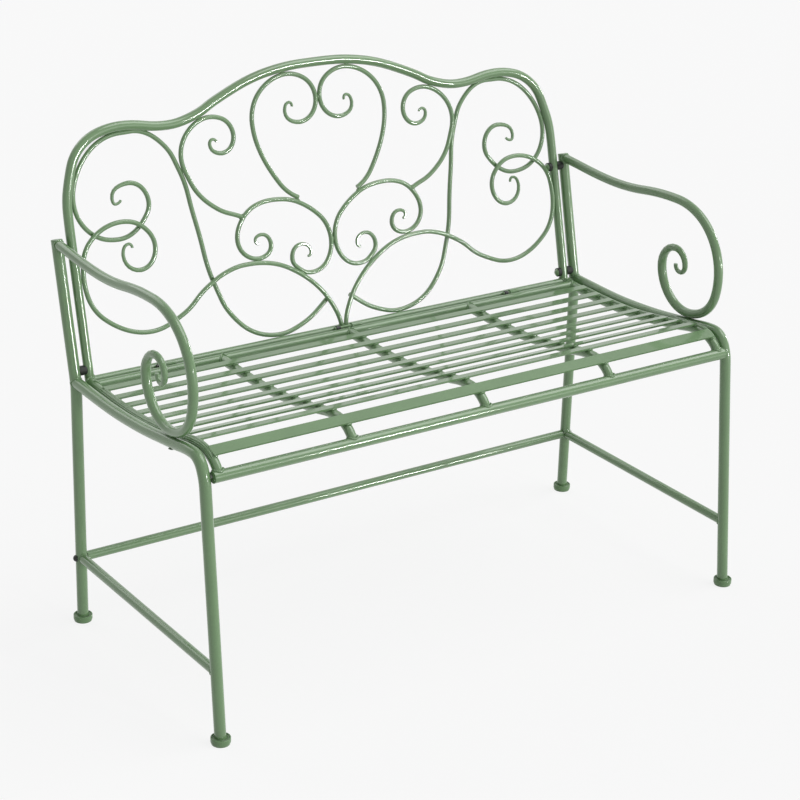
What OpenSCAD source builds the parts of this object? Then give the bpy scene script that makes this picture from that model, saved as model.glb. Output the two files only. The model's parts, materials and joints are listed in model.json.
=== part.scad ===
// Garden bench for two, in steel tube and rod.
// +X runs along the bench to the right, -Y is the side that one sits down from, +Z is up.
// The origin lies on the ground, in the middle of the bench's box.
// Heights are given from the ground, and places along Y from midway between the feet.

/* [Overall] */
// Distance between the axes of the two side frames
side_spacing = 1034; // [1000:1:1240]
// Distance between the axes of the front and rear feet
foot_spread = 462; // [452:1:470]
// Height of the seat's rear rail, at its axis
seat_h = 430; // [400:1:460]
// Height of the arms' rear ends above the seat
arm_h = 223.5; // [200:0.5:250]
// Lean of the back from upright, in degrees
back_tilt = 14; // [10:0.5:18]
// Length of the back, from its bottom rail up to the top of its arch
back_h = 463; // [450:1:500]

/* [Tubes and bars] */
// Diameter of the legs, side rails and front rail
leg_d = 19; // [18:0.5:20]
// Diameter of the arms, back frame, seat supports and stretchers
tube_d = 16; // [15:0.5:17]
// Wall of every tube
wall = 1.2; // [1:0.1:2]
// Diameter of the scrollwork rods
rod_d = 8; // [6:0.5:8.5]
// Diameter of a rod at its curled tip
rod_tip_d = 4.6; // [3:0.2:5.6]
// Thickness of the seat slats
slat_t = 3; // [2:0.5:4]
// Width of a seat slat
slat_w = 14; // [10:0.5:20]
// Width of the slat on the seat's front curve
front_slat_w = 20; // [12:0.5:26]

/* [Side frames] */
// Lean of the front legs from upright, in degrees
front_lean = 6.5; // [4:0.25:8]
// Height of the side stretchers, at their axis
stretcher_h = 118; // [80:1:200]
// How far the side rails rise from the rear to their front crest
rail_rise = 27.5; // [22:0.5:34]
// How far the rail's crest lies in front of the middle
crest_y = 148; // [140:1:152]
// Height of the arms' front crest above their rear corner
arm_rise = 8; // [4:1:16]
// Diameter of the arms' curled tip
arm_tip_d = 7; // [5:0.5:10]
// Diameter of a foot
foot_d = 32; // [28:1:44]
// Height of a foot
foot_h = 11.5; // [9:0.5:16]
// Thickness of a foot under its tube
foot_floor = 3.5; // [2:0.5:5]

/* [Seat] */
// Number of narrow slats
slat_count = 9; // [3:1:9]
// Distance from one slat to the next, along the seat
slat_pitch = 37.8; // [30:0.2:38]
// Distance from the rear rail's axis to the first slat's middle
first_slat = 38; // [30:1:42]
// Distance of the outer seat supports from the centre one
support_spacing = 256; // [180:1:300]
// Gap between a side frame and the seat's side rail
seat_side_gap = 4.5; // [3:0.5:8]
// Gap between the front rail's end and the front leg
rail_end_gap = 1; // [0.5:0.25:3]
// Distance of the rear rail in front of the back's bottom rail
rear_rail_y = 21; // [19:0.5:26]

/* [Back] */
// Distance of the side frames' posts behind the middle, at seat height
back_y = 236; // [232:1:240]
// Length of the spacers between the back and the posts
spacer_l = 7.5; // [6:0.5:14]
// Height of the lower back bolts above the seat, up the back
lower_bolt_s = 20; // [18:1:40]
// Distance of the upper back bolts below the arms' rear ends
upper_bolt_drop = 14; // [12:1:40]
// How far the back's uprights reach below its bottom rail
upright_drop = 14; // [9:1:20]

/* [Fasteners] */
// Diameter of every bolt
bolt_d = 6; // [5:0.5:7]
// Clearance of a bolt in its hole, all round
bolt_fit = 0.2; // [0.1:0.05:0.4]
// Diameter of the stretcher bolts' heads
head_d = 12; // [10:0.5:14]
// Height of the stretcher bolts' heads
head_h = 5; // [3:0.5:6]
// Diameter of the right back bolts' heads
back_head_d = 13; // [11:0.5:15]
// Height of the right back bolts' heads
back_head_h = 5; // [3:0.5:6]
// Diameter of the arm bolts' heads
arm_head_d = 14; // [11:0.5:16]
// Height of the arm bolts' heads
arm_head_h = 2.5; // [2:0.5:4]
// Diameter of the plastic spacers and washers
spacer_d = 16; // [14:0.5:18]
// Thickness of the cups under the right back bolts' heads
washer_t = 5.5; // [3:0.5:6.5]
// Places of the knuckles that join the back to the seat's rear rail, along X
rail_joint_x = [-351, 20, 366];
// How far each knuckle bolt runs on to the left of its knuckles
rail_bolt_tail = [14, 34, 14];
// Length of a pair of knuckles
knuckle_l = 20; // [14:1:24]

/* [Hidden] */
$fn = 64;
BEND_FN = 180; // steps round a full turn of a bend
GREEN = "#6f9a6c";
PALE_GREEN = "#7ba277";
BLACK = "#1d211d";
STEEL = "#8d9290";

weld_gap = 0.15;                        // between pieces that are welded together
slit = 0.02;                            // hairline between neighbouring bends of one tube
core_inset = 0.3;                       // depth of the core that joins them
core_l = 2;                             // its length
seat_gap = 0.05;                        // between pieces that are bolted or pushed together
leg_r = leg_d / 2;
tube_r = tube_d / 2;
rod_r = rod_d / 2;
side_x = side_spacing / 2;              // axis of a side frame
upright_x = side_x - leg_r - spacer_l - tube_r;   // axis of the back's upright
seat_rail_x = side_x - leg_r - seat_side_gap - tube_r;
front_foot_y = -foot_spread / 2;
rear_foot_y = foot_spread / 2;
layer = (rod_d + weld_gap) / 2;         // rods that cross lie this far before or behind the plane

// ---- Routes ----
// A route is a list of knots [u, v, heading]: a place in a plane, and the way the bar runs there,
// in degrees. A knot without a heading takes that of the circle through its neighbours.
// From one knot to the next the bar follows two arcs that join smoothly.

function place(knot) = [knot[0], knot[1]];
function dir(angle) = [cos(angle), sin(angle)];
function angle_of(v) = atan2(v.y, v.x);
function turn(angle) = angle - 360 * floor((angle + 180) / 360);
function heading(k, i) = len(k[i]) > 2 ? k[i][2] :
    let (a = place(k[i - 1]), b = place(k[i]), c = place(k[i + 1]))
    angle_of(b - a) + turn(angle_of(c - b) - angle_of(c - a));
function flip(k) = [for (i = [len(k) - 1 : -1 : 0]) [k[i][0], k[i][1], heading(k, i) + 180]];

// How far along both headings the two arcs between two knots meet
function reach(v, t0, t1) =
    let (k = 1 - t0 * t1, a = v * (t0 + t1))
    k < 1e-6 ? v * v / (2 * a) : (sqrt(a * a + 2 * k * (v * v)) - a) / (2 * k);

// An arc is [start, heading, end, half its turn]
function arc(p, h, q) = [p, h, q, turn(angle_of(q - p) - h)];
function arcs(k) = [for (i = [0 : len(k) - 2])
    let (p = place(k[i]), q = place(k[i + 1]),
         t0 = dir(heading(k, i)), t1 = dir(heading(k, i + 1)),
         d = reach(q - p, t0, t1),
         m = (p + q + d * (t0 - t1)) / 2,
         first = arc(p, heading(k, i), m))
    each [first, arc(m, heading(k, i) + 2 * first[3], q)]];

function arc_length(a) =
    norm(a[2] - a[0]) * (abs(a[3]) < 0.01 ? 1 : a[3] * PI / 180 / sin(a[3]));
// The knot at a fraction t of an arc
function along(a, t) =
    let (f = abs(a[3]) < 0.01 ? t : sin(a[3] * t) / sin(a[3]),
         p = a[0] + norm(a[2] - a[0]) * f * dir(a[1] + a[3] * t))
    [p.x, p.y, a[1] + 2 * a[3] * t];
// The knot at a distance s along a list of arcs
function at_distance(w, s, i = 0) =
    s <= arc_length(w[i]) || i == len(w) - 1
        ? along(w[i], s / arc_length(w[i]))
        : at_distance(w, s - arc_length(w[i]), i + 1);
// The knot at a distance to the left of knot i, running the same way or back
function beside(k, i, off, back = false) =
    let (h = heading(k, i), p = place(k[i]) + off * dir(h + 90))
    [p.x, p.y, back ? h + 180 : h];
// Distance in the plane at which a rod touches a bar, with its layer before or behind it
function touch(d, w = 0) = sqrt(pow((d + rod_d) / 2 + weld_gap, 2) - w * w);

// ---- Bars along routes ----

module ring(d, bore) {
    difference() {
        circle(d = d);
        if (bore > 0)
            circle(d = bore);
    }
}

// Stands a shape drawn along +Z at a knot, pointing along its heading
module at_knot(knot) {
    translate([knot[0], knot[1], 0])
        rotate([0, 0, knot[2]])
            rotate([0, 90, 0])
                children();
}

module bend(a, d, bore) {
    chord = norm(a[2] - a[0]);
    half = a[3];
    if (abs(half) < 0.02)
        at_knot([a[0].x, a[0].y, a[1]])
            translate([0, 0, slit / 2])
                linear_extrude(chord - slit)
                    ring(d, bore);
    else {
        r = chord / (2 * sin(abs(half)));
        centre = a[0] + r * dir(a[1] + sign(half) * 90);
        trim = slit / 2 / r * 180 / PI;
        start = half > 0 ? a[1] - 90 : a[1] + 90 + 2 * half;
        translate([centre.x, centre.y, 0])
            rotate([0, 0, start + trim])
                rotate_extrude(angle = 2 * (abs(half) - trim), $fn = BEND_FN)
                    translate([r, 0])
                        ring(d, bore);
    }
}

module core(knot, d, bore) {
    at_knot(knot)
        linear_extrude(core_l, center = true)
            ring(d - 2 * core_inset, bore > 0 ? bore + 2 * core_inset : 0);
}

module bar(k, d, bore = 0) {
    w = arcs(k);
    for (a = w)
        bend(a, d, bore);
    for (i = [1 : len(w) - 1])
        core([w[i][0].x, w[i][0].y, w[i][1]], d, bore);
}

module tube(k, d) {
    bar(k, d, d - 2 * wall);
}

// A solid bar that thins from d to tip_d and goes on from the end of another bar
module tapered_bar(k, d, tip_d, bore = 0, sides = 16, steps = 3) {
    w = arcs(k);
    n = len(w) * steps;
    total = [for (i = 0, s = 0; i <= len(w); s = s + (i < len(w) ? arc_length(w[i]) : 0), i = i + 1) s];
    rings = [for (i = [0 : n])
        let (j = min(floor(i / steps), len(w) - 1), t = i / steps - j)
        [along(w[j], t), (total[j] + t * arc_length(w[j])) / total[len(w)]]];
    points = [for (g = rings, m = [0 : sides - 1])
        let (r = (d + (tip_d - d) * g[1]) / 2, phi = 360 / sides * (m + 0.5),
             side = dir(g[0][2] + 90) * r * cos(phi))
        [g[0][0] + side.x, g[0][1] + side.y, r * sin(phi)]];
    faces = [
        [for (m = [0 : sides - 1]) m],
        for (i = [0 : n - 1], m = [0 : sides - 1])
            let (a = i * sides + m, b = i * sides + (m + 1) % sides)
            each [[a, a + sides, b + sides], [a, b + sides, b]],
        [for (m = [sides - 1 : -1 : 0]) n * sides + m]];
    polyhedron(points, faces);
    core(k[0], d, bore);
}

// ---- Planes that the routes lie in ----

y_mid = (front_foot_y - foot_d / 2 + back_y + back_h * sin(back_tilt) + tube_r) / 2;

module bench() translate([0, -y_mid, 0]) children();
// A drawing in Y and Z, at x
module side_plane(x) translate([x, 0, 0]) rotate([90, 0, 90]) children();
// A drawing in X and up the back, w before its plane
module back_plane(w = 0)
    translate([0, back_y, seat_h]) rotate([90 - back_tilt, 0, 0]) translate([0, 0, w]) children();
module both_sides() { children(); mirror([1, 0, 0]) children(); }

// A bar along X, from x0 to x1
module cross_bar(x0, x1, d, bore = 0) {
    translate([x0, 0, 0])
        rotate([0, 90, 0])
            linear_extrude(x1 - x0)
                ring(d, bore);
}

// ---- Side frames ----

function back_point(s) = [back_y + s * sin(back_tilt), seat_h + s * cos(back_tilt)];
function front_leg_y(z) = front_foot_y + z * tan(front_lean);
function rear_leg_y(z) = rear_foot_y + z * tan(rear_lean);

knee_h = seat_h - 18;                   // where the front leg starts to bend
bend_below = 38;                        // the rear post bends from this far below the seat's height
bend_above = 12;                        // to this far above it
rear_lean = atan((back_y - 0.8 - rear_foot_y) / (seat_h - bend_below));
crest = [-crest_y, seat_h + rail_rise, 0];
arm_touch = 64;                         // the arm rests on the rail this far behind the crest
arm_touch_heading = -7.5;
cut_end = 1;                            // how far a bar stops short of the axis it butts on

corner_s = arm_h / cos(back_tilt);      // where the arm's axis meets the post's, up the back
corner = back_point(corner_s);
post_above = 5;                         // how far the post rises past there

// The front leg and side rail are one tube
LEG = [
    [front_leg_y(foot_floor), foot_floor, 90 - front_lean],
    [front_leg_y(knee_h), knee_h, 90 - front_lean],
    crest,
    [crest[0] + arm_touch, crest[1] - 8, arm_touch_heading],
    [20, seat_h + 6.5],
    [125, seat_h + 1.3, 0],
    [back_y - cut_end, seat_h + 3.5, 1]];

POST = [
    [rear_leg_y(foot_floor), foot_floor, 90 - rear_lean],
    [rear_leg_y(seat_h - bend_below), seat_h - bend_below, 90 - rear_lean],
    [back_point(bend_above)[0], back_point(bend_above)[1], 90 - back_tilt],
    [back_point(corner_s + post_above)[0], back_point(corner_s + post_above)[1], 90 - back_tilt]];

arm_heading = 183.5;                    // the way the arm leaves the corner
arm_front = crest[0] + 0.5;             // the arm's front-most place
scroll_z = crest[1] + 81;               // height of the scroll's rear-most place

ARM = [
    [corner[0], corner[1], arm_heading],
    [corner[0] - 142, corner[1] - 7.7, 180],
    [arm_front + 117, corner[1] + arm_rise, 180],
    [arm_front + 27.5, corner[1] + arm_rise - 39],
    [arm_front, corner[1] - 106, 270],
    [arm_front + 17.5, crest[1] + 34],
    beside(LEG, 3, leg_r + tube_r + weld_gap),
    [arm_front + 132.5, crest[1] + 40.5],
    [arm_front + 145.5, scroll_z, 90]];
ARM_TIP = [
    ARM[8],
    [arm_front + 112.5, scroll_z + 35.5, 180],
    [arm_front + 85.5, scroll_z + 8, 270],
    [arm_front + 98, scroll_z - 5, 0],
    [arm_front + 110, scroll_z + 7, 90]];

// A cylinder that copes a bar's end to a tube of diameter d at a knot
module cope(knot, d) {
    at_knot(knot)
        cylinder(d = d + 2 * weld_gap, h = 60, center = true);
}

module bolt_hole(x) {
    translate([x, 0, 0])
        rotate([0, 90, 0])
            cylinder(d = bolt_d + 2 * bolt_fit, h = 30, center = true);
}

// A hole for a round piece of diameter d, in a side frame's inner wall only
module inner_hole(d) {
    translate([side_x, 0, 0])
        rotate([0, -90, 0])
            cylinder(d = d + 2 * seat_gap, h = 15);
}

back_bolt_s = [lower_bolt_s, corner_s - upper_bolt_drop];
module at_back_bolt(s) translate([0, back_point(s)[0], back_point(s)[1]]) children();
// The arm bolt's line, from the rail's axis up to the arm
module at_arm_bolt() side_plane(side_x)
    translate([LEG[3][0], LEG[3][1], 0]) rotate([0, 0, arm_touch_heading]) rotate([-90, 0, 0]) children();
module at_seat_pin() translate([0, seat_pin[0], seat_pin[1]]) children();
module at_stretcher_bolt() translate([0, rear_leg_y(stretcher_h), stretcher_h]) children();

module front_leg() color(GREEN) difference() {
    side_plane(side_x)
        difference() {
            tube(LEG, leg_d);
            cope(along(arcs(POST)[3], 0.6), leg_d);
        }
    at_seat_pin() inner_hole(bolt_d);
    at_arm_bolt() cylinder(d = bolt_d + 2 * bolt_fit, h = 2 * leg_d, center = true);
}

module rear_post() color(GREEN) difference() {
    side_plane(side_x) tube(POST, leg_d);
    for (s = back_bolt_s)
        at_back_bolt(s) inner_hole(insert_d);
    at_stretcher_bolt() bolt_hole(side_x);
}

module armrest() color(GREEN) difference() {
    side_plane(side_x) {
        difference() {
            tube(ARM, tube_d);
            cope([corner[0], corner[1], 90 - back_tilt], leg_d);
        }
        tapered_bar(ARM_TIP, tube_d, arm_tip_d, tube_d - 2 * wall);
    }
    at_arm_bolt() cylinder(d = bolt_d + 2 * seat_gap, h = leg_r + tube_r);
}

module side_stretcher() color(GREEN) side_plane(side_x)
    difference() {
        tube([[rear_leg_y(stretcher_h) - cut_end, stretcher_h, 180],
              [front_leg_y(stretcher_h) + cut_end, stretcher_h, 180]], tube_d);
        cope([rear_leg_y(stretcher_h), stretcher_h, 90 - rear_lean], leg_d);
        cope([front_leg_y(stretcher_h), stretcher_h, 90 - front_lean], leg_d);
    }

foot_round = 4.5;                       // radius of a foot's lower edge
foot_rim = 1.3;                         // radius of its rim
foot_groove = 2.2;                      // radius of the groove inside the rim

// A foot: a round cup with a socket for its tube, which leans
module foot(y, lean) color(GREEN) translate([side_x, y, 0])
    difference() {
        rotate_extrude()
            difference() {
                union() {
                    square([foot_d / 2 - foot_round, foot_h]);
                    translate([foot_d / 2 - foot_round, foot_round])
                        circle(foot_round);
                    translate([0, foot_round])
                        square([foot_d / 2, foot_h - foot_round - foot_rim]);
                    translate([foot_d / 2 - foot_rim, foot_h - foot_rim])
                        circle(foot_rim);
                    square([foot_d / 2 - foot_rim, foot_h]);
                }
                translate([foot_d / 2 - 2 * foot_rim - foot_groove + 0.4, foot_h])
                    circle(foot_groove);
            }
        translate([0, foot_floor * tan(lean), foot_floor])
            rotate([-lean, 0, 0])
                translate([0, 0, -seat_gap])
                    cylinder(d = leg_d + 2 * seat_gap, h = 2 * foot_h);
    }

// ---- Stretcher between the rear legs ----

stretcher_x = side_x - leg_r - 2 * seat_gap;   // its ends
plug_l = 16;

module rear_stretcher() color(GREEN) at_stretcher_bolt()
    cross_bar(-stretcher_x, stretcher_x, tube_d, tube_d - 2 * wall);

module stretcher_plugs() color(STEEL) both_sides() at_stretcher_bolt()
    cross_bar(stretcher_x - plug_l, stretcher_x - 1,
        tube_d - 2 * wall - 2 * seat_gap, bolt_d + 2 * seat_gap);

// ---- Back ----
// The arch of the outer tube, from an upright's foot to the top, in X and up the back

ARCH = [
    [upright_x, -upright_drop, 90],
    [upright_x, back_h - 223, 90],
    [upright_x - 6, back_h - 150],
    [upright_x - 35, back_h - 88],
    [upright_x - 112, back_h - 61.5, 180],
    [294, back_h - 71, 180],
    [237, back_h - 59.5],
    [200, back_h - 42],
    [110, back_h - 10],
    [66, back_h - 2.6],
    [0, back_h, 180]];
ARCH_SIDE = 2;                          // knots of the arch that a rod touches
ARCH_SHOULDER = 4;
ARCH_SLOPE = 6;
ARCH_TOP = 9;

twin_x = layer;                         // rods that meet their mirror image lie this far out
rod_touch = touch(rod_d);
layer_touch = touch(rod_d, layer);
tube_touch = touch(tube_d);
layer_tube_touch = touch(tube_d, layer);

// The rod in front runs from the bottom rail, over the middle, to the lower outer scroll
B = [
    [twin_x + 0.3, 5, 84],
    [24, 56],
    [42, 80],
    [73, 107.5],
    [120, 133],
    [155, 140.5],
    [182, 141.5, 0],
    [225, 133],
    [257, 117],
    [308, 80],
    [upright_x - 122, 61, 0],
    [upright_x - 60, 80],
    [upright_x - 22, 117],
    [upright_x - layer_tube_touch, 164, 90],
    [upright_x - 27, 220],
    [upright_x - 40, 232],
    [upright_x - 89, 248, 180],
    [upright_x - 124, 238],
    [upright_x - 146.5, 200, 270],
    [upright_x - 115, 165, 0]];
B_TIP = [
    B[19],
    [upright_x - 86.5, 193, 90],
    [upright_x - 98.5, 210.5, 180],
    [upright_x - 104.5, 203, 280]];

// The rod behind it runs from the same place, along the bottom rail, to the upper outer scroll
A = [
    [B[1][0], B[1][1], -38],
    [75, 23],
    [122, layer_tube_touch, 0],
    [170, 22],
    [218, 66],
    [240, 118],
    [262, 230],
    [279, back_h - 150],
    [300, back_h - 106],
    [343, back_h - 75],
    beside(ARCH, ARCH_SHOULDER, layer_tube_touch, true),
    beside(ARCH, ARCH_SIDE, layer_tube_touch, true),
    [upright_x - 20, back_h - 201],
    [upright_x - 49, back_h - 234],
    [upright_x - 88, back_h - 243.5, 180],
    [upright_x - 132, back_h - 223],
    [upright_x - 149, back_h - 191, 90],
    [upright_x - 115, back_h - 155, 0]];
A_TIP = [
    A[17],
    [upright_x - 83.5, back_h - 176, 270],
    [upright_x - 89, back_h - 186, 180],
    [upright_x - 99, back_h - 181, 126]];

// The heart in the middle
C = [
    [124.5, 168, 270],
    beside(B, 5, layer_touch),
    [188.5, 184, 90],
    [172, 221],
    [117, 242, 180],
    [64, 232],
    [twin_x, 158, 270],
    [48, 107.5, 0],
    beside(B, 3, layer_touch),
    [86, 137, 90]];
C_TIP = [
    [C[0][0], C[0][1], 90],
    [141.5, 187, 0],
    [154.5, 178, 270],
    [149, 172, 185]];
C_INNER_TIP = [
    C[9],
    [66, 159, 180],
    [47.5, 144, 270],
    [54, 136.5, 10]];

// The loop under the top of the arch
D = [
    [41, back_h - 97.5, 180],
    [twin_x, back_h - 60, 90],
    beside(ARCH, ARCH_TOP, tube_touch, true),
    [134, back_h - 88, 270],
    [115, back_h - 160],
    beside(C, 5, -rod_touch)];
D_TIP = [
    [D[0][0], D[0][1], 0],
    [68, back_h - 77, 90],
    [58, back_h - 62, 180],
    [53, back_h - 70, 290]];

// The loop under the arch's slope
E = [
    [198, back_h - 130, 180],
    [172.5, back_h - 103, 90],
    beside(ARCH, ARCH_SLOPE, tube_touch, true),
    beside(A, 7, layer_touch, true),
    [250, back_h / 2 + 38.5],
    [220, 243],
    [C[3][0], C[3][1], 206]];
E_TIP = [
    [E[0][0], E[0][1], 0],
    [219.5, back_h - 113, 90],
    [213, back_h - 105, 180],
    [206, back_h - 110, 251]];

module back_frame() color(GREEN) difference() {
    back_plane() {
        both_sides() tube(ARCH, tube_d);
        core(ARCH[10], tube_d, tube_d - 2 * wall);
    }
    both_sides()
        for (s = back_bolt_s)
            at_back_bolt(s) bolt_hole(upright_x);
}

module back_bottom_rail() color(GREEN) back_plane()
    difference() {
        cross_bar(-upright_x + cut_end, upright_x - cut_end, tube_d, tube_d - 2 * wall);
        both_sides() cope([upright_x, 0, 90], tube_d);
    }

module scroll_a() color(GREEN) back_plane(-layer) {
    bar(A, rod_d);
    tapered_bar(A_TIP, rod_d, rod_tip_d);
}

module scroll_b() color(GREEN) back_plane() difference() {
    translate([0, 0, layer]) {
        bar(B, rod_d);
        tapered_bar(B_TIP, rod_d, rod_tip_d);
    }
    cope([0, 0, 0], tube_d);
}

module scroll_c() color(GREEN) back_plane() {
    bar(C, rod_d);
    tapered_bar(C_TIP, rod_d, rod_tip_d);
    tapered_bar(C_INNER_TIP, rod_d, rod_tip_d);
}

module scroll_d() color(GREEN) back_plane() {
    bar(D, rod_d);
    tapered_bar(D_TIP, rod_d, rod_tip_d);
}

module scroll_e() color(GREEN) back_plane() {
    difference() {
        bar(E, rod_d);
        cope([C[3][0], C[3][1], heading(C, 3)], rod_d);
    }
    tapered_bar(E_TIP, rod_d, rod_tip_d);
}

// ---- Seat ----
// Side rails and supports share one profile, from the rear rail to the front rail

front_rail = [-187, seat_h - 0.5];
SEAT = [
    [back_y - rear_rail_y, seat_h, 183],
    [130, seat_h - 2.5, 180],
    [30, seat_h + 1.3],
    [-60, seat_h + 14.5],
    [-138, seat_h + 27, 180],
    [front_rail[0], front_rail[1], 239]];
rail_end = side_x - leg_r - rail_end_gap;
rail_plug_t = 1.5;
seat_pin = [front_rail[0] + 4, front_rail[1]];   // place in Y and Z of the pins in the front rail
slat_end = seat_rail_x + 1;

module at_front_rail() translate([0, front_rail[0], front_rail[1]]) children();
module at_rear_rail() translate([0, SEAT[0][0], SEAT[0][1]]) children();

module seat_front_rail() color(GREEN) at_front_rail()
    cross_bar(-rail_end + rail_plug_t, rail_end - rail_plug_t, leg_d, leg_d - 2 * wall);

module seat_rear_rail() color(GREEN) difference() {
    at_rear_rail()
        cross_bar(-seat_rail_x + cut_end, seat_rail_x - cut_end, tube_d, tube_d - 2 * wall);
    both_sides() side_plane(seat_rail_x) cope(SEAT[0], tube_d);
}

// A bar with the seat's profile, shortened by cut_end at both ends and coped to the rails
module seat_bar() {
    w = arcs(SEAT);
    last = len(SEAT) - 1;
    a = along(w[0], cut_end / arc_length(w[0]));
    b = along(w[len(w) - 1], 1 - cut_end / arc_length(w[len(w) - 1]));
    difference() {
        tube([for (i = [0 : last]) i == 0 ? a : i == last ? b : [SEAT[i][0], SEAT[i][1],
            heading(SEAT, i)]], tube_d);
        translate([SEAT[0][0], SEAT[0][1], 0])
            cylinder(r = tube_r + weld_gap, h = 40, center = true);
        translate([front_rail[0], front_rail[1], 0])
            cylinder(r = leg_r + weld_gap, h = 40, center = true);
    }
}

// A side rail runs on past the rear rail and ends square against the back's upright
module seat_side_rail() color(GREEN) difference() {
    side_plane(seat_rail_x)
        difference() {
            tube(concat([[back_y, seat_h + rear_rail_y * tan(heading(SEAT, 0)), heading(SEAT, 0)]],
                [for (i = [0 : len(SEAT) - 1]) [SEAT[i][0], SEAT[i][1], heading(SEAT, i)]]), tube_d);
            translate([front_rail[0], front_rail[1], 0])
                cylinder(r = leg_r + weld_gap, h = 40, center = true);
        }
    back_plane(tube_r + weld_gap)
        translate([seat_rail_x - tube_d, -tube_d, -2 * tube_d])
            cube(2 * tube_d);
}

module seat_support(i) color(GREEN) side_plane((i - 2) * support_spacing) seat_bar();

// Slat number i, lying on the supports
module slat(i, width) {
    knot = at_distance(arcs(SEAT), first_slat + (i - 1) * slat_pitch);
    color(PALE_GREEN)
        side_plane(0)
            translate([knot[0], knot[1], 0])
                rotate([0, 0, knot[2]])
                    translate([-width / 2, -tube_r - weld_gap - slat_t, -slat_end])
                        cube([width, slat_t, 2 * slat_end]);
}

// ---- Plugs and fasteners ----

plug_depth = 8;

// A plug in the end of a tube that runs down from the origin
module plug(d) {
    translate([0, 0, seat_gap])
        cylinder(d = d, h = rail_plug_t - seat_gap);
    translate([0, 0, -plug_depth])
        cylinder(d = d - 2 * wall - 2 * seat_gap, h = plug_depth + rail_plug_t / 2);
}

module rail_plugs() color(GREEN) both_sides() difference() {
    at_front_rail() translate([rail_end - rail_plug_t, 0, 0]) rotate([0, 90, 0]) plug(leg_d);
    at_seat_pin() cross_bar(rail_end - 2 * plug_depth, rail_end + 1, bolt_d + 2 * seat_gap);
}

module post_caps() color(GREEN) both_sides()
    back_plane() translate([side_x, corner_s + post_above, 0]) rotate([-90, 0, 0]) plug(leg_d);

module upright_plugs() color(BLACK) both_sides()
    back_plane() translate([upright_x, -upright_drop, 0]) rotate([90, 0, 0]) plug(tube_d);

// A domed head that stands on the origin
module dome(d, h) {
    r = (d * d / 4 + h * h) / (2 * h);
    intersection() {
        translate([0, 0, h - r])
            sphere(r);
        translate([-d, -d, 0])
            cube([2 * d, 2 * d, 2 * h]);
    }
}

// A bolt along X, whose shank runs inward from under its head
module bolt(x, l) {
    translate([x + seat_gap, 0, 0])
        rotate([0, 90, 0]) {
            dome(head_d, head_h);
            translate([0, 0, -l])
                cylinder(d = bolt_d, h = l + 1);
        }
}

saddle = 3;                             // how far the spacers reach round a tube
cup_saddle = 1;                         // how far the cups do
insert_d = 9;                           // diameter of the threaded inserts in the posts
insert_l = 13;                          // their length
thread = 10;                            // length of a bolt's end in its insert
post_face_x = side_x - leg_r;           // inner side of a side frame
cup_x = upright_x - tube_r - washer_t;

// The back's upright and the post, which spacers and cups are shaped round
module saddles() back_plane()
    for (bar = [[upright_x, tube_d], [side_x, leg_d]])
        translate([bar[0], -spacer_d, 0])
            rotate([-90, 0, 0])
                cylinder(d = bar[1] + 2 * seat_gap, h = corner_s + spacer_d);

module back_spacers() color(BLACK) both_sides() difference() {
    for (s = back_bolt_s)
        at_back_bolt(s)
            cross_bar(upright_x + tube_r - saddle, post_face_x + saddle,
                spacer_d, insert_d + 2 * seat_gap);
    saddles();
}

module back_cups() color(BLACK) difference() {
    for (s = back_bolt_s)
        at_back_bolt(s)
            cross_bar(cup_x, upright_x - tube_r + cup_saddle, spacer_d, bolt_d + 2 * bolt_fit);
    saddles();
}

module post_inserts() color(STEEL) both_sides()
    for (s = back_bolt_s)
        at_back_bolt(s)
            cross_bar(post_face_x + 0.3, post_face_x + insert_l, insert_d, bolt_d + 2 * seat_gap);

// The bolts on the right have a head on a cup; those on the left end flush with the upright
module back_bolts() color(GREEN)
    for (s = back_bolt_s)
        at_back_bolt(s) {
            cross_bar(cup_x - 1, post_face_x + thread, bolt_d);
            translate([cup_x - seat_gap, 0, 0])
                rotate([0, -90, 0])
                    dome(back_head_d, back_head_h);
            cross_bar(-post_face_x - thread, -upright_x + tube_r - 0.5, bolt_d);
        }

// The bolts that hold an arm down on its side rail, from below
module arm_bolts() color(GREEN) both_sides() at_arm_bolt() {
    translate([0, 0, -leg_r - seat_gap])
        rotate([180, 0, 0])
            dome(arm_head_d, arm_head_h);
    translate([0, 0, -leg_r - 1])
        cylinder(d = bolt_d, h = leg_d + wall + 4);
}

// Pins that join the front rail's ends to the front legs
module seat_pins() color(STEEL) both_sides() at_seat_pin()
    cross_bar(rail_end - plug_depth - 4, post_face_x + wall + 3, bolt_d);

module stretcher_bolts() color(BLACK) both_sides() at_stretcher_bolt()
    bolt(side_x + leg_r, side_x + leg_r - stretcher_x + plug_l - 2);

// Knuckles in the crease between the bottom rail and the rear rail, in pairs: each has one
// welded to the back and one to the seat, with a bolt along both
knuckle_d = rear_rail_y - tube_d + 4;
knuckle_bolt_d = 5;
knuckle_rise = sqrt(pow(tube_r + knuckle_d / 2 + weld_gap, 2) - pow(rear_rail_y / 2, 2));
knuckle_nut_l = 5;

module at_rail_joint(i)
    translate([rail_joint_x[i], back_y - rear_rail_y / 2, seat_h + knuckle_rise]) children();

module rail_knuckles() color(PALE_GREEN)
    for (i = [0 : len(rail_joint_x) - 1], side = [0, 1])
        at_rail_joint(i)
            cross_bar(side ? seat_gap / 2 : -knuckle_l / 2, side ? knuckle_l / 2 : -seat_gap / 2,
                knuckle_d, knuckle_bolt_d + 2 * seat_gap);

module rail_bolts() color(BLACK)
    for (i = [0 : len(rail_joint_x) - 1])
        at_rail_joint(i) {
            tail = -knuckle_l / 2 - rail_bolt_tail[i];
            cross_bar(tail, knuckle_l / 2 + 1, knuckle_bolt_d);
            cross_bar(tail + 3, tail + 3 + knuckle_nut_l, knuckle_d - 1);
            translate([knuckle_l / 2 + seat_gap, 0, 0])
                rotate([0, 90, 0])
                    dome(knuckle_d - 1, 2);
        }

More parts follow.
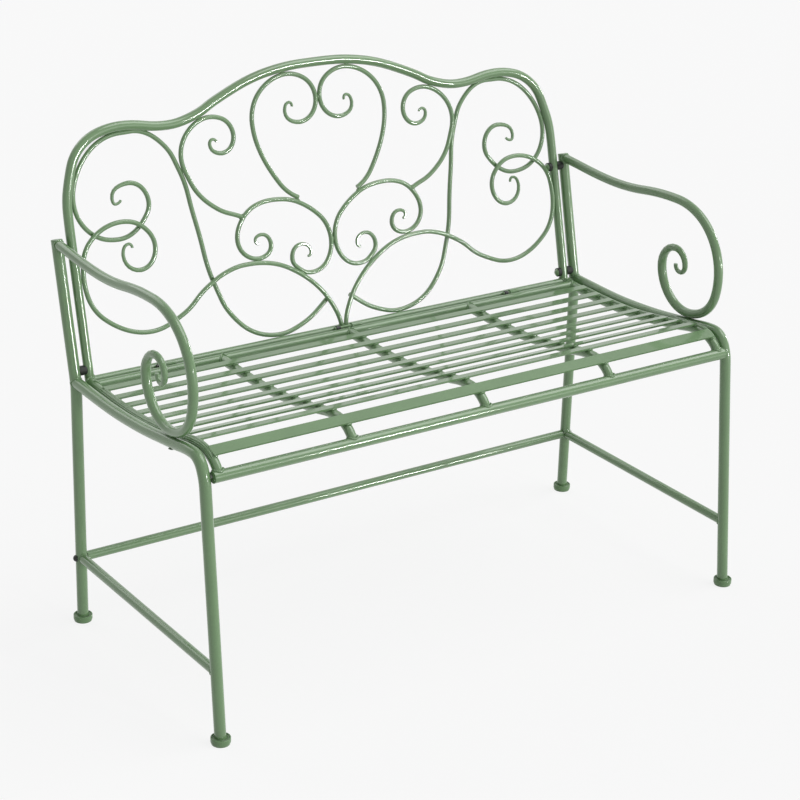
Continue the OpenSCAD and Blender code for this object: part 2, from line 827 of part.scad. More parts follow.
// ---- The whole bench ----

// Draws a piece on the right, or its mirror image on the left
module right() bench() children();
module left() bench() mirror([1, 0, 0]) children();

left() front_leg();  // front_leg_left
right() front_leg();  // front_leg_right
left() rear_post();  // rear_post_left
right() rear_post();  // rear_post_right
left() armrest();  // armrest_left
right() armrest();  // armrest_right
left() side_stretcher();  // side_stretcher_left
right() side_stretcher();  // side_stretcher_right
left() foot(front_foot_y, front_lean);  // front_foot_left
right() foot(front_foot_y, front_lean);  // front_foot_right
left() foot(rear_foot_y, rear_lean);  // rear_foot_left
right() foot(rear_foot_y, rear_lean);  // rear_foot_right
bench() rear_stretcher();
bench() stretcher_plugs();
bench() stretcher_bolts();
bench() back_frame();
bench() back_bottom_rail();
bench() upright_plugs();
left() scroll_a();  // scroll_a_left
right() scroll_a();  // scroll_a_right
left() scroll_b();  // scroll_b_left
right() scroll_b();  // scroll_b_right
left() scroll_c();  // scroll_c_left
right() scroll_c();  // scroll_c_right
left() scroll_d();  // scroll_d_left
right() scroll_d();  // scroll_d_right
left() scroll_e();  // scroll_e_left
right() scroll_e();  // scroll_e_right
bench() seat_front_rail();
bench() seat_rear_rail();
left() seat_side_rail();  // seat_side_rail_left
right() seat_side_rail();  // seat_side_rail_right
bench() seat_support(1);  // seat_support_1
bench() seat_support(2);  // seat_support_2
bench() seat_support(3);  // seat_support_3
bench() slat(1, slat_w);  // seat_slat_1
bench() slat(2, slat_w);  // seat_slat_2
bench() slat(3, slat_w);  // seat_slat_3
bench() slat(4, slat_w);  // seat_slat_4
bench() slat(5, slat_w);  // seat_slat_5
bench() slat(6, slat_w);  // seat_slat_6
bench() slat(7, slat_w);  // seat_slat_7
bench() slat(8, slat_w);  // seat_slat_8
bench() slat(9, slat_w);  // seat_slat_9
bench() slat(slat_count + 1, front_slat_w);  // seat_front_slat
bench() rail_plugs();
bench() post_caps();
bench() back_bolts();
bench() back_spacers();
bench() back_cups();
bench() post_inserts();
bench() arm_bolts();
bench() seat_pins();
bench() rail_knuckles();
bench() rail_bolts();
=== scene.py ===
"""The looks of a garden bench: powder-coated tube and rod, with its welds and fasteners."""

import json
import math

import bpy
from mathutils import Matrix, Vector


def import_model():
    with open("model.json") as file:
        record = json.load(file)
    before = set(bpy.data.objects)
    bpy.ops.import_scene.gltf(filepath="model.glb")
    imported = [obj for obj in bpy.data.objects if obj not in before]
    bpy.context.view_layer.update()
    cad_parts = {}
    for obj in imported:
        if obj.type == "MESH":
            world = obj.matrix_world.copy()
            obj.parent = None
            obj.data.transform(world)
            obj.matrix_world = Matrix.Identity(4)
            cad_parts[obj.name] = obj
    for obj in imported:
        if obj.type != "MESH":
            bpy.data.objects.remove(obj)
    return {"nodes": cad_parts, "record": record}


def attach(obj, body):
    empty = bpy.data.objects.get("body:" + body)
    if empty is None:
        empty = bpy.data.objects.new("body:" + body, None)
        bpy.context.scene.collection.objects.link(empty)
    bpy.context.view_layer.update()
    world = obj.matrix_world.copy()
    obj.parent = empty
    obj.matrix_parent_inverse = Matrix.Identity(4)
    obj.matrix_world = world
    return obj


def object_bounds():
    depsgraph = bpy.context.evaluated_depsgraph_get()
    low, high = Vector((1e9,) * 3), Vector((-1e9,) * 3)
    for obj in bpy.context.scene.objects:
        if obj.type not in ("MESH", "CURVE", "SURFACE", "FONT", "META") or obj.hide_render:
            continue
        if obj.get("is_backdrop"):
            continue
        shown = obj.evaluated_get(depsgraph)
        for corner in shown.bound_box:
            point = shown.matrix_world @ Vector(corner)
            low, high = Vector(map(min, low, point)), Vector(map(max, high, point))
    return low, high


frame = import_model()
cad_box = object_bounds()
nodes = frame["nodes"]
scene = bpy.context.scene


# ---- Camera ----

# Degrees around the bench from its front, above the floor, and of roll
CAMERA_ANGLES = (-35.32, 22.72, 2.12)
CAMERA_PLACE = (-1.9969, -2.8170, 1.8058)
CAMERA_LENS, CAMERA_SENSOR = 99.24, 36


def camera():
    a, e, r = (math.radians(v) for v in CAMERA_ANGLES)
    back = Vector((math.sin(a) * math.cos(e), -math.cos(a) * math.cos(e), math.sin(e)))
    right = Vector((math.cos(a), math.sin(a), 0))
    up = back.cross(right)
    x = right * math.cos(r) + up * math.sin(r)
    y = up * math.cos(r) - right * math.sin(r)
    data = bpy.data.cameras.new("camera")
    data.lens = CAMERA_LENS
    data.sensor_width = CAMERA_SENSOR
    data.clip_end = 100
    o = bpy.data.objects.new("camera", data)
    o.matrix_world = Matrix.Translation(CAMERA_PLACE) @ Matrix((x, y, back)).transposed().to_4x4()
    scene.collection.objects.link(o)
    scene.camera = o


camera()


# ---- Materials ----

def new_material(name):
    m = bpy.data.materials.new(name)
    m.use_nodes = True
    nt = m.node_tree
    bsdf = nt.nodes["Principled BSDF"]
    return m, nt, bsdf


def node(nt, kind, **sockets):
    n = nt.nodes.new(kind)
    for k, v in sockets.items():
        n.inputs[k.replace("_", " ")].default_value = v
    return n


def ramp(nt, stops, source):
    """A colour ramp's output; each stop is (place from 0 to 1, colour)."""
    n = nt.nodes.new("ShaderNodeValToRGB")
    el = n.color_ramp.elements
    while len(el) < len(stops):
        el.new(0.5)
    for e, (pos, col) in zip(el, stops):
        e.position = pos
        e.color = (*col, 1)
    nt.links.new(source, n.inputs["Fac"])
    return n.outputs["Color"]


def grey(v):
    return (v, v, v)


def powder_coat(name, base, roughness=0.34, peel=0.12, coat=0.9):
    """Semi-gloss powder coat: orange peel, clouds of slightly different gloss, and fine specks."""
    m, nt, bsdf = new_material(name)
    link = nt.links.new
    coord = nt.nodes.new("ShaderNodeTexCoord")
    cloud = node(nt, "ShaderNodeTexNoise", Scale=9.0, Detail=4.0, Roughness=0.55)
    fine = node(nt, "ShaderNodeTexNoise", Scale=420.0, Detail=3.0, Roughness=0.6)
    peel_noise = node(nt, "ShaderNodeTexNoise", Scale=260.0, Detail=1.0, Roughness=0.4)
    for n in (cloud, fine, peel_noise):
        link(coord.outputs["Object"], n.inputs["Vector"])
    dark = tuple(c * 0.93 for c in base)
    light = tuple(min(1, c * 1.07) for c in base)
    big = ramp(nt, [(0.3, dark), (0.7, light)], cloud.outputs["Fac"])
    specks = [(0.25, grey(0.93)), (0.5, grey(1.0)), (0.8, grey(1.05))]
    speck = ramp(nt, specks, fine.outputs["Fac"])
    mix = nt.nodes.new("ShaderNodeMix")
    mix.data_type = "RGBA"
    mix.blend_type = "MULTIPLY"
    mix.inputs[0].default_value = 1.0
    link(big, mix.inputs[6])
    link(speck, mix.inputs[7])
    link(mix.outputs[2], bsdf.inputs["Base Color"])
    gloss = [(0.3, grey(roughness - 0.03)), (0.7, grey(roughness + 0.05))]
    link(ramp(nt, gloss, cloud.outputs["Fac"]), bsdf.inputs["Roughness"])
    bump = node(nt, "ShaderNodeBump", Strength=peel, Distance=0.00006)
    link(peel_noise.outputs["Fac"], bump.inputs["Height"])
    link(bump.outputs["Normal"], bsdf.inputs["Normal"])
    bsdf.inputs["Specular IOR Level"].default_value = 0.3
    bsdf.inputs["Coat Weight"].default_value = coat
    bsdf.inputs["Coat Roughness"].default_value = 0.06
    return m


def plastic(name, base, roughness=0.45):
    """Moulded plastic: a fine grain and dull patches where it has been handled."""
    m, nt, bsdf = new_material(name)
    link = nt.links.new
    coord = nt.nodes.new("ShaderNodeTexCoord")
    cloud = node(nt, "ShaderNodeTexNoise", Scale=60.0, Detail=4.0, Roughness=0.6)
    grain = node(nt, "ShaderNodeTexVoronoi", Scale=1500.0)
    for n in (cloud, grain):
        link(coord.outputs["Object"], n.inputs["Vector"])
    dark = tuple(c * 0.88 for c in base)
    light = tuple(c * 1.1 for c in base)
    link(ramp(nt, [(0.3, dark), (0.7, light)], cloud.outputs["Fac"]), bsdf.inputs["Base Color"])
    gloss = [(0.3, grey(roughness - 0.05)), (0.7, grey(roughness + 0.1))]
    link(ramp(nt, gloss, cloud.outputs["Fac"]), bsdf.inputs["Roughness"])
    bump = node(nt, "ShaderNodeBump", Strength=0.2, Distance=0.00008)
    link(grain.outputs["Distance"], bump.inputs["Height"])
    link(bump.outputs["Normal"], bsdf.inputs["Normal"])
    return m


def painted_bolt(name, nuts, reach=400):
    """A bolt in the frame's green, but black over the spans along X given in nuts, within reach of X =
    0.
    """
    m, nt, bsdf = new_material(name)
    link = nt.links.new
    coord = nt.nodes.new("ShaderNodeTexCoord")
    split = nt.nodes.new("ShaderNodeSeparateXYZ")
    link(coord.outputs["Object"], split.inputs[0])
    span = node(nt, "ShaderNodeMapRange", From_Min=-reach / 1000, From_Max=reach / 1000)
    link(split.outputs["X"], span.inputs["Value"])
    stops = [(0.0, GREEN)]
    for start, end in nuts:
        stops += [((start + reach) / (2 * reach), BLACK), ((end + reach) / (2 * reach), GREEN)]
    col = ramp(nt, stops, span.outputs["Result"])
    col.node.color_ramp.interpolation = "CONSTANT"
    link(col, bsdf.inputs["Base Color"])
    bsdf.inputs["Roughness"].default_value = 0.4
    bsdf.inputs["Coat Weight"].default_value = 0.2
    return m


GREEN = (0.155, 0.276, 0.124)
BLACK = (0.014, 0.018, 0.014)
# The spans coloured black on the rail bolts: each one's left end to the far side of its nut, in
# millimetres along X
RAIL_NUTS = [(-375, -366), (-24, -15), (342, 351)]
MATERIALS = {
    "powder_coat": powder_coat("powder_coat", GREEN),
    "green_plastic": powder_coat("green_plastic", (0.148, 0.262, 0.12), 0.36, 0.15, 0.3),
    "black_plastic": plastic("black_plastic", (0.009, 0.012, 0.009), 0.6),
    "coated_steel": powder_coat("coated_steel", BLACK, 0.4, 0.15, 0.2),
    "bare_steel": plastic("bare_steel", (0.4, 0.4, 0.39), 0.35),
}
PAINTED_BOLT = painted_bolt("painted_bolt", RAIL_NUTS)

SLOT_OF = {s["node"]: s["material_slot"] for s in frame["record"]["subparts"]}
for name, o in nodes.items():
    m = PAINTED_BOLT if name == "rail_bolts" else MATERIALS[SLOT_OF[name]]
    if not o.material_slots:
        o.data.materials.append(m)
    for s in o.material_slots:
        s.material = m


# ---- The bench's routes, in millimetres, as the CAD model lays them out ----
# A route is a list of knots (u, v, heading in degrees or None). Between knots it follows two arcs.

LEG_R, TUBE_R, ROD_R = 9.5, 8.0, 4.0
WELD_GAP = 0.15
SIDE_X, UPRIGHT_X, SEAT_RAIL_X = 517.0, 492.0, 495.0
SEAT_H, BACK_Y, BACK_H, TILT = 430.0, 236.0, 463.0, math.radians(14)
Y_MID = (-231 - 16 + BACK_Y + BACK_H * math.sin(TILT) + TUBE_R) / 2
LAYER = ROD_R + WELD_GAP / 2
FRONT_LEAN = 6.5
STRETCHER_H = 118


def unit(angle):
    return Vector((math.cos(math.radians(angle)), math.sin(math.radians(angle))))


def angle_of(v):
    return math.degrees(math.atan2(v.y, v.x))


def turn(angle):
    return angle - 360 * math.floor((angle + 180) / 360)


def place(k):
    return Vector((k[0], k[1]))


def heading(route, i):
    if len(route[i]) > 2:
        return route[i][2]
    a, b, c = (place(route[j]) for j in (i - 1, i, i + 1))
    return angle_of(b - a) + turn(angle_of(c - b) - angle_of(c - a))


def arcs(route):
    """Each arc is (start, heading, end, half its turn)."""
    out = []
    for i in range(len(route) - 1):
        p, q = place(route[i]), place(route[i + 1])
        h0 = heading(route, i)
        t0, t1 = unit(h0), unit(heading(route, i + 1))
        v = q - p
        k, a = 1 - t0.dot(t1), v.dot(t0 + t1)
        d = v.dot(v) / (2 * a) if k < 1e-6 else (math.sqrt(a * a + 2 * k * v.dot(v)) - a) / (2 * k)
        m = (p + q + d * (t0 - t1)) / 2
        half = turn(angle_of(m - p) - h0)
        out.append((p, h0, m, half))
        h = h0 + 2 * half
        out.append((m, h, q, turn(angle_of(q - m) - h)))
    return out


def arc_length(a):
    straight = abs(a[3]) < 0.01
    return (a[2] - a[0]).length * (1 if straight else math.radians(a[3]) / math.sin(math.radians(a[3])))


def along(a, t):
    """The place and heading at a fraction t of an arc."""
    straight = abs(a[3]) < 0.01
    f = t if straight else math.sin(math.radians(a[3] * t)) / math.sin(math.radians(a[3]))
    return a[0] + (a[2] - a[0]).length * f * unit(a[1] + a[3] * t), a[1] + 2 * a[3] * t


def at_distance(route, s):
    for a in arcs(route):
        n = arc_length(a)
        if s <= n:
            return along(a, s / n)
        s -= n
    return along(a, 1)


def beside(route, i, off, back=False):
    """A knot at a distance off to the left of a route's knot, along the route or back along it."""
    h = heading(route, i)
    p = place(route[i]) + off * unit(h + 90)
    return (p.x, p.y, h + 180 if back else h)


def touch(d, w=0.0):
    """How far a rod's line keeps from the line of a bar of diameter d, w before or behind it."""
    return math.sqrt(((d + 2 * ROD_R) / 2 + WELD_GAP) ** 2 - w * w)


def side_plane(x):
    """From (y, z) in a plane across the bench to the frame, in metres."""
    return lambda p, w=0.0: Vector((x + w, p[0] - Y_MID, p[1])) / 1000


def back_plane(side, w0=0.0):
    """From (x, distance up the back) to the frame, in metres; w is the distance before the plane."""
    def to(p, w=0.0):
        w += w0
        return Vector((side * p[0], BACK_Y + p[1] * math.sin(TILT) - w * math.cos(TILT) - Y_MID,
                       SEAT_H + p[1] * math.cos(TILT) + w * math.sin(TILT))) / 1000
    return to


def back_point(s):
    return (BACK_Y + s * math.sin(TILT), SEAT_H + s * math.cos(TILT))


REAR_LEAN = math.degrees(math.atan((BACK_Y - 0.8 - 231) / (SEAT_H - 38)))
CORNER = back_point(223.5 / math.cos(TILT))
LEG = [
    (-231 + 3.5 * math.tan(math.radians(FRONT_LEAN)), 3.5, 90 - FRONT_LEAN),
    (-231 + 412 * math.tan(math.radians(FRONT_LEAN)), 412, 90 - FRONT_LEAN),
    (-148, 457.5, 0),
    (-84, 449.5, -7.5),
    (20, 436.5),
    (125, 431.3, 0),
    (235, 433.5, 1)]
POST = [
    (231 + 3.5 * math.tan(math.radians(REAR_LEAN)), 3.5, 90 - REAR_LEAN),
    (231 + 392 * math.tan(math.radians(REAR_LEAN)), 392, 90 - REAR_LEAN),
    (*back_point(12), 76),
    (*CORNER, 76)]
SEAT = [
    (215, 430, 183),
    (130, 427.5, 180),
    (30, 431.3),
    (-60, 444.5),
    (-138, 457, 180),
    (-187, 429.5, 239)]
U = UPRIGHT_X
ARCH = [
    (U, -14, 90), (U, 240, 90), (U - 6, 313), (U - 35, 375), (U - 112, 401.5, 180), (294, 392, 180),
    (237, 403.5), (200, 421), (110, 453), (66, 460.4), (0, 463, 180)]
ROD_TOUCH, LAYER_TOUCH = touch(8), touch(8, LAYER)
TUBE_TOUCH, LAYER_TUBE_TOUCH = touch(16), touch(16, LAYER)
B = [
    (LAYER + 0.3, 5, 84), (24, 56), (42, 80), (73, 107.5), (120, 133), (155, 140.5), (182, 141.5, 0),
    (225, 133), (257, 117), (308, 80), (U - 122, 61, 0), (U - 60, 80), (U - 22, 117),
    (U - LAYER_TUBE_TOUCH, 164, 90), (U - 27, 220), (U - 40, 232), (U - 89, 248, 180), (U - 124, 238),
    (U - 146.5, 200, 270), (U - 115, 165, 0)]
A = [
    (24, 56, -38), (75, 23), (122, LAYER_TUBE_TOUCH, 0), (170, 22), (218, 66), (240, 118),
    (262, 230), (279, 313), (300, 357), (343, 388), beside(ARCH, 4, LAYER_TUBE_TOUCH, True),
    beside(ARCH, 2, LAYER_TUBE_TOUCH, True), (U - 20, 262), (U - 49, 229), (U - 88, 219.5, 180),
    (U - 132, 240), (U - 149, 272, 90), (U - 115, 308, 0)]
C = [
    (124.5, 168, 270), beside(B, 5, LAYER_TOUCH), (188.5, 184, 90), (172, 221), (117, 242, 180),
    (64, 232), (LAYER, 158, 270), (48, 107.5, 0), beside(B, 3, LAYER_TOUCH), (86, 137, 90)]
D = [
    (41, 365.5, 180), (LAYER, 403, 90), beside(ARCH, 9, TUBE_TOUCH, True), (134, 375, 270),
    (115, 303), beside(C, 5, -ROD_TOUCH)]
E = [
    (198, 333, 180), (172.5, 360, 90), beside(ARCH, 6, TUBE_TOUCH, True),
    beside(A, 7, LAYER_TOUCH, True), (250, 270), (220, 243), (172, 221, 206)]


# ---- Welds ----

class Welds:
    """Gathers weld beads into one mesh."""

    def __init__(self):
        self.verts, self.faces = [], []

    def sweep(self, points, radii, ring=8, closed=False):
        n = len(points)
        start = len(self.verts)
        side = None
        for i, p in enumerate(points):
            ahead = points[(i + 1) % n] if closed or i + 1 < n else p
            behind = points[i - 1] if closed or i else p
            t = (ahead - behind).normalized()
            if side is None:
                side = t.orthogonal()
            side = (side - t * side.dot(t)).normalized()
            other = t.cross(side)
            for j in range(ring):
                g = 2 * math.pi * j / ring
                self.verts.append(p + (side * math.cos(g) + other * math.sin(g)) * radii[i])
        last = n if closed else n - 1
        for i in range(last):
            for j in range(ring):
                a, b = start + i * ring, start + (i + 1) % n * ring
                k = (j + 1) % ring
                self.faces.append((a + j, a + k, b + k, b + j))
        if not closed:
            self.faces.append(tuple(start + j for j in range(ring - 1, -1, -1)))
            self.faces.append(tuple(start + (n - 1) * ring + j for j in range(ring)))

    def lens(self, centre, along_, across, out, size, rows=9, ring=12, rough=0.08):
        """A tack: a lump with half sizes in millimetres along, across and out of the joint."""
        start = len(self.verts)
        l, a, o = (v / 1000 for v in size)
        for i in range(rows):
            g = math.pi * (i + 0.5) / rows
            bulge = 1 + rough * math.sin(5 * g + centre.x * 900)
            for j in range(ring):
                h = 2 * math.pi * j / ring
                spread = across * a * math.cos(h) + out * o * math.sin(h)
                self.verts.append(centre - along_ * l * math.cos(g) + spread * math.sin(g) * bulge)
        for i in range(rows - 1):
            for j in range(ring):
                k = (j + 1) % ring
                u, v = start + i * ring, start + (i + 1) * ring
                self.faces.append((u + j, u + k, v + k, v + j))
        self.faces.append(tuple(start + j for j in range(ring - 1, -1, -1)))
        self.faces.append(tuple(start + (rows - 1) * ring + j for j in range(ring)))

    def build(self, name, material):
        mesh = bpy.data.meshes.new(name)
        mesh.from_pydata([tuple(v) for v in self.verts], [], self.faces)
        mesh.polygons.foreach_set("use_smooth", [True] * len(mesh.polygons))
        mesh.materials.append(material)
        mesh.update()
        o = bpy.data.objects.new(name, mesh)
        scene.collection.objects.link(o)
        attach(o, "root")
        return o


def ripple(i, size, depth=0.12, pitch=3.0):
    return size * (1 + depth * math.sin(2 * math.pi * i / pitch)) / 1000


def ring_points(to, p, h, r, solve, count=72):
    """The line where a bar of radius r, which comes along heading h through p, ends."""
    p = place(p)
    d, n = unit(h), unit(h + 90)
    out = []
    for i in range(count):
        g = 2 * math.pi * i / count
        w = r * math.sin(g)
        start = p + r * math.cos(g) * n
        t = solve(start, d, w)
        out.append(to(start + t * d, w))
    return out


def on_tube(q, g, big_r):
    """A tube in the same plane, through q along heading g."""
    q, n = place(q), unit(g + 90)

    def solve(start, d, w):
        side = -1 if d.dot(n) > 0 else 1
        return (side * math.sqrt(max(0.04, big_r * big_r - w * w)) - (start - q).dot(n)) / d.dot(n)
    return solve


def on_cross_tube(q, big_r):
    """A tube at right angles to the plane, through q."""
    q = place(q)

    def solve(start, d, w):
        m = start - q
        b = m.dot(d)
        return -b - math.sqrt(max(0, b * b - m.dot(m) + big_r * big_r))
    return solve


def seam(welds, points, size):
    welds.sweep(points, [ripple(i, size) for i in range(len(points))], closed=True)


def tack(welds, to, p, q, tangent, size=(4.2, 1.5, 2.6), r=ROD_R):
    """A tack where the bar at p, of radius r, touches the one at q; each place is (u, v, w)."""
    a, b = to(p[:2], p[2]), to(q[:2], q[2])
    across = (b - a).normalized()
    t = (to(Vector(p[:2]) + unit(tangent), p[2]) - a).normalized()
    t = (t - across * t.dot(across)).normalized()
    welds.lens(a + across * (r + WELD_GAP / 2) / 1000, t, across, t.cross(across), size)


def cross_ring(x, p, r, big_r, count=48):
    """The line where a bar along X, through p and of radius r, ends on a tube along Y at x."""
    out = []
    for i in range(count):
        g = 2 * math.pi * i / count
        reach = math.sqrt(max(0.04, big_r * big_r - (r * math.sin(g)) ** 2))
        place_ = (p[0] + r * math.cos(g), p[1] + r * math.sin(g))
        out.append(side_plane(x)(place_, -reach if x > 0 else reach))
    return out


# The slats along a seat rail: the first one's place, the distance between them, their number
SLAT_FROM, SLAT_PITCH, SLATS = 38, 37.8, 10
SLAT_W, FRONT_SLAT_W = 14, 20
BEAD_STEPS = 12
# Fillets over the slats' ends: distance outward from the rail's centre, height and radius
FILLETS = [(0.4, 7.5, 3.6), (3.4, 6.4, 3.2), (5.6, 4.8, 2.6)]
FILLET_FROM, FILLET_TO, FILLET_STEPS, FILLET_TAPER = 27, 391, 100, 4


def slat_beads(welds, x, outer):
    """A bead along both edges of each slat, where it lies on the bar at x."""
    to = side_plane(x)
    lo, hi = -4.5, 4.5
    if outer:
        lo, hi = (0, 5.5) if x < 0 else (-5.5, 0)
    for i in range(SLATS):
        width = FRONT_SLAT_W if i == SLATS - 1 else SLAT_W
        p, h = at_distance(SEAT, SLAT_FROM + SLAT_PITCH * i)
        t, up = unit(h), unit(h - 90)
        for edge in (-1, 1):
            pts, radii = [], []
            for k in range(BEAD_STEPS + 1):
                w = lo + (hi - lo) * k / BEAD_STEPS
                rise = math.sqrt(TUBE_R ** 2 - w * w) + 0.7
                pts.append(to(p + t * edge * (width / 2 + 0.2) + up * rise, w))
                fade = math.sqrt(max(0.05, 1 - (2 * k / BEAD_STEPS - 1) ** 2))
                radii.append(ripple(k, 1.0 + 0.7 * fade, 0 if outer else 0.12))
            welds.sweep(pts, radii)


def slat_end_fillets(welds, x):
    """Smooth fillets along the side rail at x, over the slats' ends."""
    to = side_plane(x)
    outward = 1 if x > 0 else -1
    for w, rise, r in FILLETS:
        pts, radii = [], []
        for k in range(FILLET_STEPS + 1):
            p, h = at_distance(SEAT, FILLET_FROM + (FILLET_TO - FILLET_FROM) * k / FILLET_STEPS)
            pts.append(to(p + unit(h - 90) * rise, outward * w))
            inner = min(k, FILLET_STEPS - k) / FILLET_TAPER
            radii.append(r / 1000 * (math.sin(math.pi / 2 * max(0.1, inner)) if inner < 1 else 1))
        welds.sweep(pts, radii, 16)


def seat_welds(material):
    welds = Welds()
    for x in (-SEAT_RAIL_X, -256, 0, 256, SEAT_RAIL_X):
        to = side_plane(x)
        outer = abs(x) == SEAT_RAIL_X
        # the bar's ends on the rear and front rails
        if outer:
            seam(welds, cross_ring(x, SEAT[0], TUBE_R + 0.4, TUBE_R + 0.4), 1.6)
        else:
            rear = on_cross_tube(SEAT[0], TUBE_R + 0.5)
            seam(welds, ring_points(to, SEAT[0], 3, TUBE_R + 0.6, rear), 1.5)
        front = on_cross_tube(SEAT[-1], LEG_R + 0.5)
        seam(welds, ring_points(to, SEAT[-1], SEAT[-1][2], TUBE_R + 0.6, front), 1.8)
        slat_beads(welds, x, outer)
        if outer:
            slat_end_fillets(welds, x)
    # the side rails' ends on the back's uprights
    for side in (-1, 1):
        to = side_plane(side * SEAT_RAIL_X)
        ends = []
        for i in range(48):
            g = 2 * math.pi * i / 48
            v = 431.1 + (TUBE_R + 0.1) * math.sin(g)
            y = BACK_Y - TUBE_R / math.cos(TILT) - 1.0 + (v - SEAT_H) * math.tan(TILT)
            ends.append(to((y, v), (TUBE_R + 0.1) * math.cos(g)))
        seam(welds, ends, 1.3)
    return welds.build("seat_welds", material)


def frame_welds(material):
    welds = Welds()
    # the place and heading of the post where the side rail meets it
    post = along(arcs(POST)[3], 0.6)
    rear_y = 231 + STRETCHER_H * math.tan(math.radians(REAR_LEAN))
    front_y = -231 + STRETCHER_H * math.tan(math.radians(FRONT_LEAN))
    for side in (-1, 1):
        to = side_plane(side * SIDE_X)
        for y, h, lean in ((rear_y, 0, REAR_LEAN), (front_y, 180, FRONT_LEAN)):
            leg = on_tube((y, STRETCHER_H), 90 - lean, LEG_R + 0.3)
            seam(welds, ring_points(to, (y, STRETCHER_H), h, TUBE_R + 0.4, leg), 1.4)
        on_post = on_tube(post[0], post[1], LEG_R + 0.2)
        seam(welds, ring_points(to, LEG[-1], LEG[-1][2], LEG_R + 0.2, on_post), 1.3)
        seam(welds, ring_points(to, CORNER, 3.5, TUBE_R + 0.3, on_tube(CORNER, 76, LEG_R + 0.3)), 1.5)
    return welds.build("frame_welds", material)


def back_welds(material):
    welds = Welds()
    for side in (-1, 1):
        to = back_plane(side)
        upright = on_tube((UPRIGHT_X, 0), 90, TUBE_R + 0.3)
        seam(welds, ring_points(to, (UPRIGHT_X, 0), 0, TUBE_R + 0.4, upright), 1.4)

        def knot_tack(route, i, w, other, w2, **kw):
            rod, bar = (*route[i][:2], w), (*other[:2], w2)
            tack(welds, to, rod, bar, heading(route, i), **kw)

        knot_tack(A, 10, -LAYER, ARCH[4], 0)
        knot_tack(A, 11, -LAYER, ARCH[2], 0)
        knot_tack(A, 2, -LAYER, (A[2][0], 0), 0)
        knot_tack(B, 13, LAYER, (UPRIGHT_X, B[13][1]), 0)
        knot_tack(C, 1, 0, B[5], LAYER)
        knot_tack(C, 8, 0, B[3], LAYER)
        knot_tack(D, 2, 0, ARCH[9], 0)
        knot_tack(E, 2, 0, ARCH[6], 0)
        knot_tack(E, 3, 0, A[7], -LAYER)
        knot_tack(D, 5, 0, C[5], 0, size=(5, 1.8, 2.8))
        if side > 0:
            knot_tack(C, 6, 0, (-LAYER, C[6][1]), 0)
            knot_tack(D, 1, 0, (-LAYER, D[1][1]), 0)
        def before(p, w=0):
            return to(p, w + LAYER)

        def on_bottom_rail(start, d, w):
            return (math.sqrt(max(0.1, (TUBE_R + 0.3) ** 2 - (w + LAYER) ** 2)) - start.y) / d.y

        # the rods' ends
        knot_tack(A, 0, -LAYER, B[1], LAYER, size=(3.5, 1.0, 3.0))
        seam(welds, ring_points(before, (5.1, 12), 264, ROD_R + 0.3, on_bottom_rail, 36), 1.0)
        rod_c = on_tube(C[3], heading(C, 3), ROD_R + 0.3)
        seam(welds, ring_points(to, E[-1], E[-1][2], ROD_R + 0.3, rod_c, 36), 1.0)
    return welds.build("back_welds", material)


coat = MATERIALS["powder_coat"]
seat_welds(coat)
frame_welds(coat)
back_welds(coat)


# ---- Floor, world and lights ----

def seen_directly(nt):
    """1 for rays from the camera and for those that a glossy or clear surface sends on."""
    path = nt.nodes.new("ShaderNodeLightPath")
    out = path.outputs["Is Camera Ray"]
    for kind in ("Is Glossy Ray", "Is Transmission Ray"):
        both = nt.nodes.new("ShaderNodeMath")
        both.operation = "MAXIMUM"
        nt.links.new(out, both.inputs[0])
        nt.links.new(path.outputs[kind], both.inputs[1])
        out = both.outputs[0]
    return out


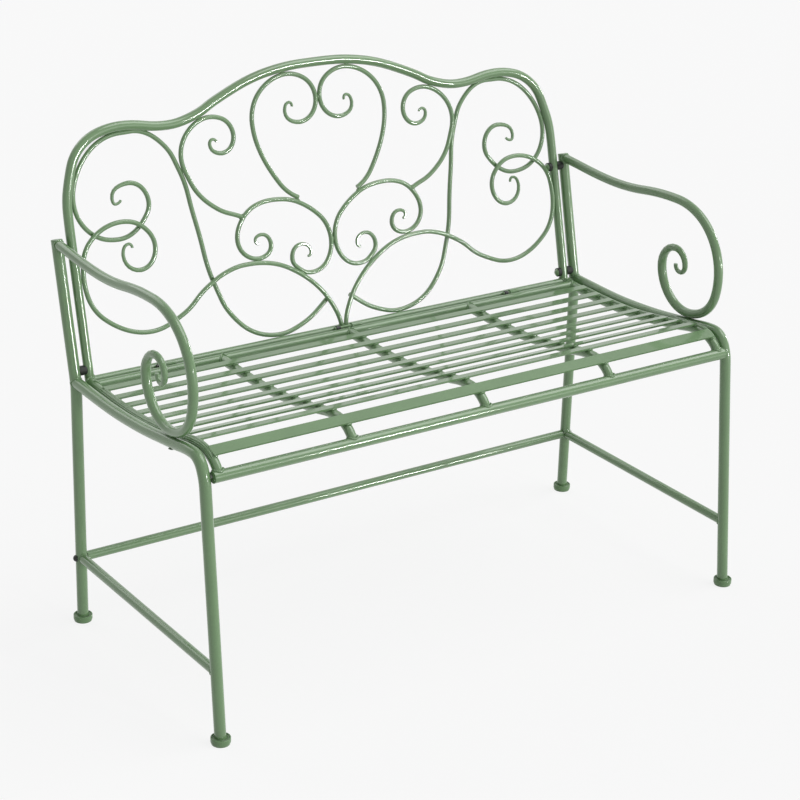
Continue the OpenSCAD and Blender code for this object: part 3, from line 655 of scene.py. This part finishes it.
def floor():
    mesh = bpy.data.meshes.new("floor")
    s = 30
    mesh.from_pydata([(-s, -s, 0), (s, -s, 0), (s, s, 0), (-s, s, 0)], [], [(0, 1, 2, 3)])
    o = bpy.data.objects.new("floor", mesh)
    scene.collection.objects.link(o)
    m, nt, bsdf = new_material("floor")
    link = nt.links.new
    noise = node(nt, "ShaderNodeTexNoise", Scale=3.0, Detail=2.0)
    col = ramp(nt, [(0.3, grey(0.80)), (0.7, grey(0.81))], noise.outputs["Fac"])
    link(col, bsdf.inputs["Base Color"])
    bsdf.inputs["Roughness"].default_value = 0.9
    bsdf.inputs["Specular IOR Level"].default_value = 0.1
    # mostly backdrop white, with some of the lit floor with the bench's shadow
    white = node(nt, "ShaderNodeEmission", Color=(1.0, 1.0, 1.0, 1), Strength=1.0)
    share = nt.nodes.new("ShaderNodeMath")
    share.operation = "MULTIPLY"
    share.inputs[1].default_value = 0.84
    link(seen_directly(nt), share.inputs[0])
    mix = nt.nodes.new("ShaderNodeMixShader")
    link(share.outputs[0], mix.inputs[0])
    link(bsdf.outputs[0], mix.inputs[1])
    link(white.outputs[0], mix.inputs[2])
    link(mix.outputs[0], nt.nodes["Material Output"].inputs["Surface"])
    mesh.materials.append(m)
    o.location.z = cad_box[0][2] - 0.0002
    o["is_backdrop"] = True


def world(strength):
    w = bpy.data.worlds.new("world")
    scene.world = w
    w.use_nodes = True
    nt = w.node_tree
    nt.nodes.clear()
    out = nt.nodes.new("ShaderNodeOutputWorld")
    seen = node(nt, "ShaderNodeBackground", Color=(0.947, 0.947, 0.947, 1), Strength=1.0)
    light = node(nt, "ShaderNodeBackground", Color=(0.97, 0.98, 1.0, 1), Strength=strength)
    mix = nt.nodes.new("ShaderNodeMixShader")
    nt.links.new(seen_directly(nt), mix.inputs[0])
    nt.links.new(light.outputs[0], mix.inputs[1])
    nt.links.new(seen.outputs[0], mix.inputs[2])
    nt.links.new(mix.outputs[0], out.inputs[0])


def sun(name, toward, strength, spread):
    """A distant lamp in the direction toward, spread degrees wide."""
    data = bpy.data.lights.new(name, "SUN")
    data.energy = strength
    data.angle = math.radians(spread)
    o = bpy.data.objects.new(name, data)
    o.rotation_euler = Vector(toward).to_track_quat("Z", "Y").to_euler()
    scene.collection.objects.link(o)


floor()
world(0.31)
# two wide lamps for the shading, and three narrow ones for the fine lines along the tubes
sun("key_light", (0.53, -0.19, 0.82), 1.25, 40)
sun("back_light", (-0.10, 0.753, 0.65), 0.45, 40)
sun("front_light", (0.53, -0.845, 0.05), 0.75, 5)
sun("window_light", (0.30, -0.91, 0.23), 0.45, 7)
sun("side_light", (0.95, 0.15, 0.10), 0.35, 8)

scene.view_settings.view_transform = "Standard"


[[[float(v) for v in p] for p in b] for b in (cad_box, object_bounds())]
